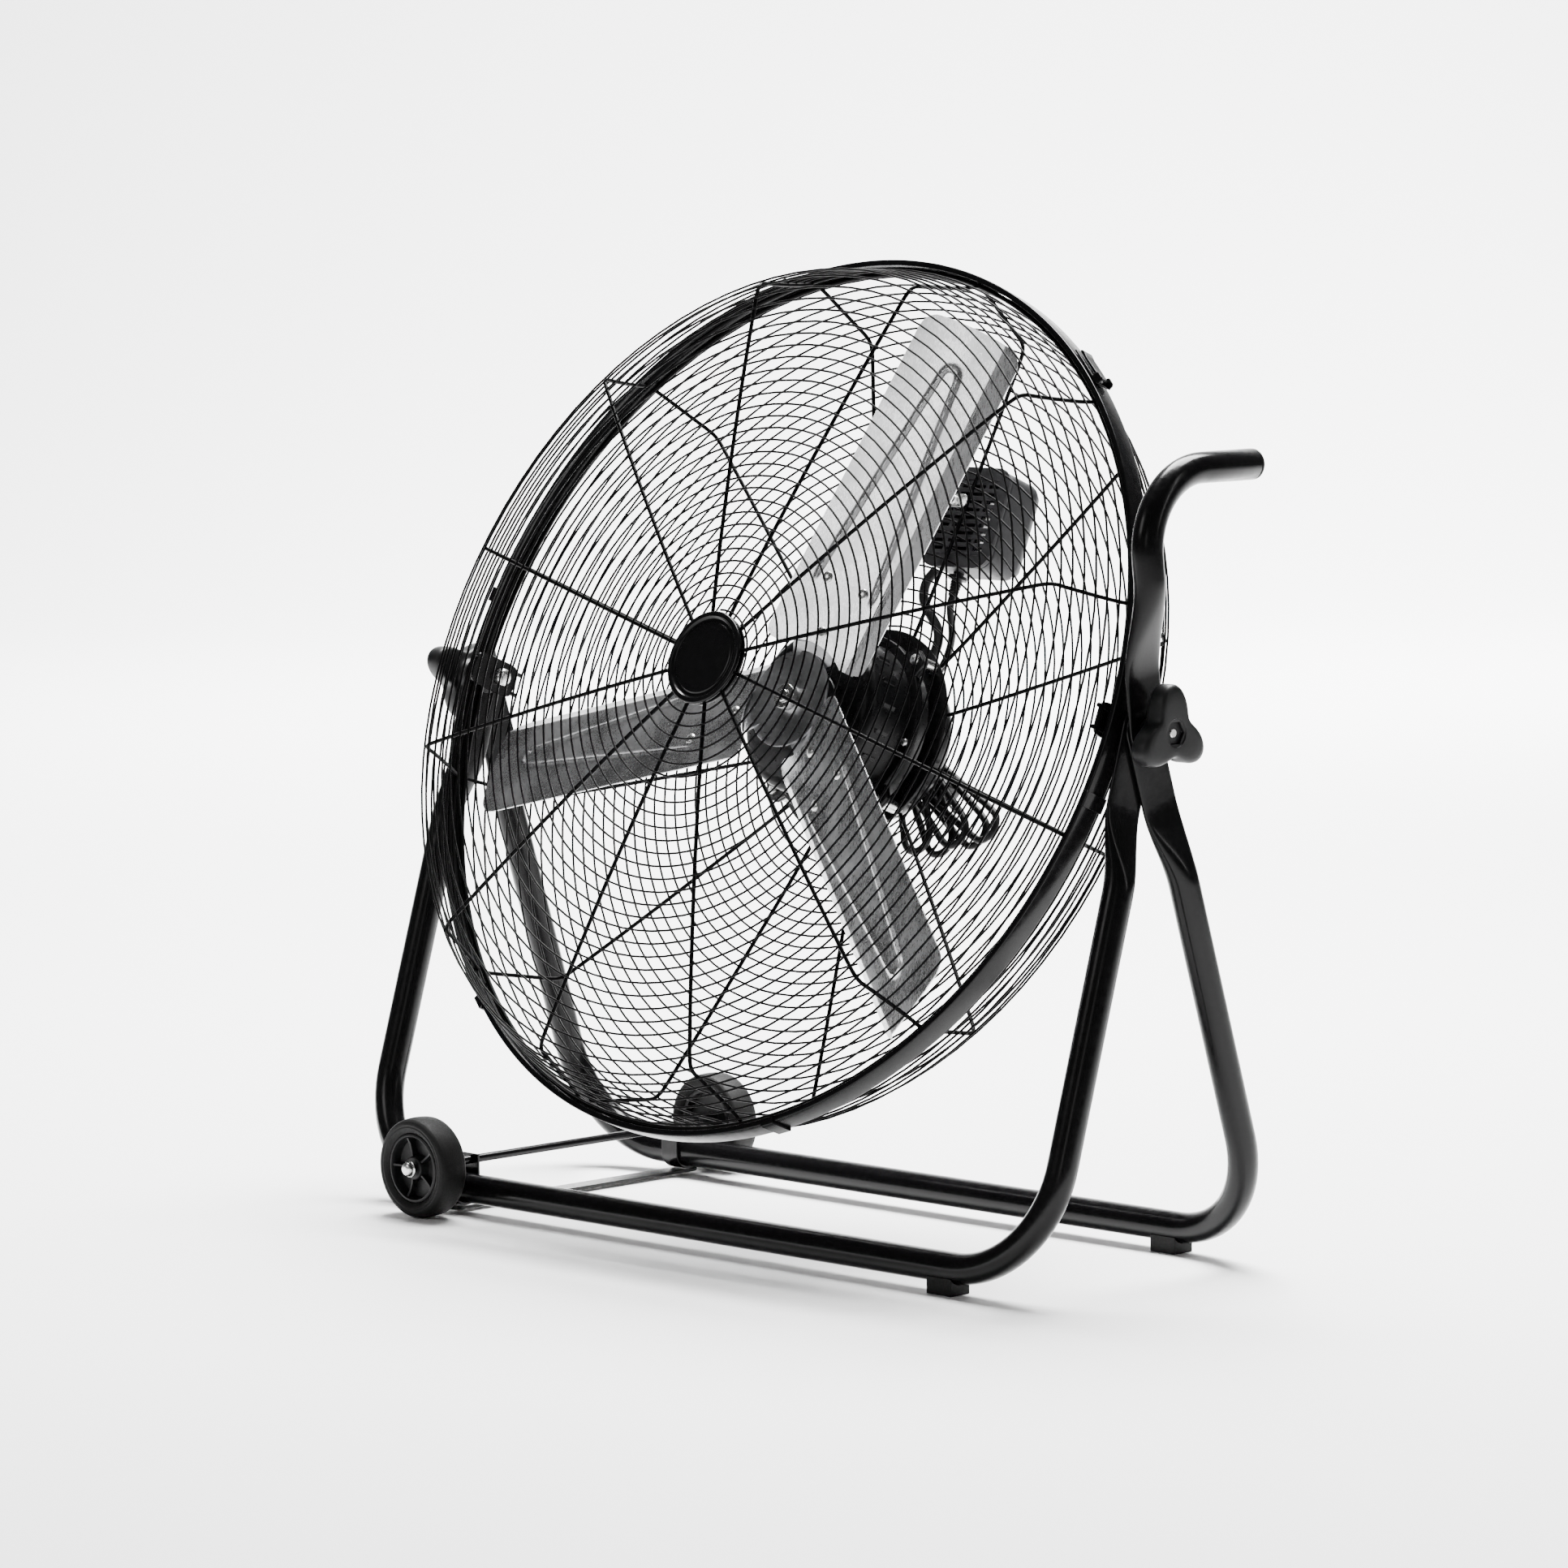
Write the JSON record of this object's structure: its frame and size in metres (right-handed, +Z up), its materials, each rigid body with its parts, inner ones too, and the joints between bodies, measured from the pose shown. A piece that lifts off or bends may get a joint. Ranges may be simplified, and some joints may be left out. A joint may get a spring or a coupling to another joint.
{
  "type": "tilting floor fan",
  "caption": "High-velocity floor fan: wire guards round sheet blades and a motor, tilting on two U-shaped tube frames with transport wheels and a carrying handle.",
  "frame": {"origin": "on the floor, under the middle of the tilt axis", "axes": "+X towards the carrying handle, along the tilt axis; -X towards the wheels; -Y towards the front guard, the way the air leaves; +Z up"},
  "size_m": [0.951, 0.4904, 0.8964],
  "materials": {
    "black_paint": "gloss black powder coat on steel",
    "guard_wire": "black coated steel wire",
    "aluminium": "plain rolled sheet",
    "zinc_steel": "bright zinc plated steel",
    "rubber": "matt black rubber",
    "black_plastic": "moulded black plastic",
    "grey_plastic": "moulded dark grey plastic",
    "copper": "enamelled copper windings on a laminated core",
    "core_steel": "laminated steel rotor"
  },
  "bodies": {
    "stand": {"front_leg_frame": "black_paint", "rear_leg_frame": "black_paint", "handle_tube": "black_paint", "handle_end_plug": "black_plastic", "front_foot": "rubber", "rear_foot": "rubber", "axle_rod": "zinc_steel", "front_axle_bracket": "black_paint", "rear_axle_bracket": "black_paint", "axle_strap": "black_paint"},
    "head": {"box_clamp_washer": "zinc_steel", "capacitor": "aluminium", "cord_gland": "black_plastic", "cord_hank": "rubber", "cord_plug": "black_plastic", "cord_tie": "black_plastic", "front_bearing": "zinc_steel", "front_guard": "guard_wire", "guard_band": "black_paint", "guard_clip_1": "zinc_steel", "guard_clip_2": "zinc_steel", "guard_clip_3": "zinc_steel", "guard_clip_4": "zinc_steel", "guard_clip_5": "zinc_steel", "hub_cap": "black_paint", "hub_cap_back": "black_paint", "latch_base": "zinc_steel", "left_pivot_bolt": "zinc_steel", "left_pivot_bracket": "black_paint", "left_spacer_bush": "black_plastic", "motor_front_shell": "black_paint", "motor_lead": "black_plastic", "motor_mount_ring": "black_paint", "motor_rear_shell": "black_paint", "motor_stator": "copper", "power_cord": "rubber", "rear_bearing": "zinc_steel", "rear_guard": "guard_wire", "right_pivot_bolt": "zinc_steel", "right_pivot_bracket": "black_paint", "right_spacer_bush": "black_plastic", "speed_switch": "black_plastic", "switch_box": "grey_plastic", "switch_plate": "black_paint"},
    "rotor": {"blade_1": "aluminium", "blade_2": "aluminium", "blade_3": "aluminium", "blade_spider": "zinc_steel", "motor_shaft": "zinc_steel", "hub_collar": "zinc_steel", "rotor_core": "core_steel"},
    "front_wheel": {"front_wheel_hub": "black_plastic", "front_tyre": "rubber"},
    "rear_wheel": {"rear_wheel_hub": "black_plastic", "rear_tyre": "rubber"},
    "right_knob": {"right_tilt_knob": "black_plastic"},
    "left_knob": {"left_tilt_knob": "black_plastic"},
    "latch": {"latch_lever": "zinc_steel"},
    "speed_knob": {"speed_knob": "black_plastic"}
  },
  "joints": [
    {"name": "head_tilt", "type": "hinge", "parent": "stand", "child": "head", "pos_m": [0, 0, 0.493], "axis": [-1, 0, 0], "range_deg": [-52.8, 67.2]},
    {"name": "blade_spin", "type": "hinge", "parent": "head", "child": "rotor", "pos_m": [0, 0, 0.493], "axis": [0, 0.9219, -0.3875], "continuous": true},
    {"name": "front_wheel_spin", "type": "hinge", "parent": "stand", "child": "front_wheel", "pos_m": [-0.316, -0.19, 0.0475], "axis": [0, 1, 0], "continuous": true},
    {"name": "rear_wheel_spin", "type": "hinge", "parent": "stand", "child": "rear_wheel", "pos_m": [-0.316, 0.19, 0.0475], "axis": [0, 1, 0], "continuous": true},
    {"name": "right_knob_turn", "type": "hinge", "parent": "head", "child": "right_knob", "pos_m": [0.46, 0, 0.493], "axis": [1, 0, 0], "range_deg": [0, 360]},
    {"name": "left_knob_turn", "type": "hinge", "parent": "head", "child": "left_knob", "pos_m": [-0.46, 0, 0.493], "axis": [-1, 0, 0], "range_deg": [0, 360]},
    {"name": "latch_swing", "type": "hinge", "parent": "head", "child": "latch", "pos_m": [0.29185, 0.10521, 0.79231], "axis": [0, 0.9219, -0.3875], "range_deg": [0, 100]},
    {"name": "speed_knob_turn", "type": "hinge", "parent": "head", "child": "speed_knob", "pos_m": [0.0525, 0.22468, 0.63449], "axis": [0, 0.9219, -0.3875], "range_deg": [-120, 0]}
  ]
}
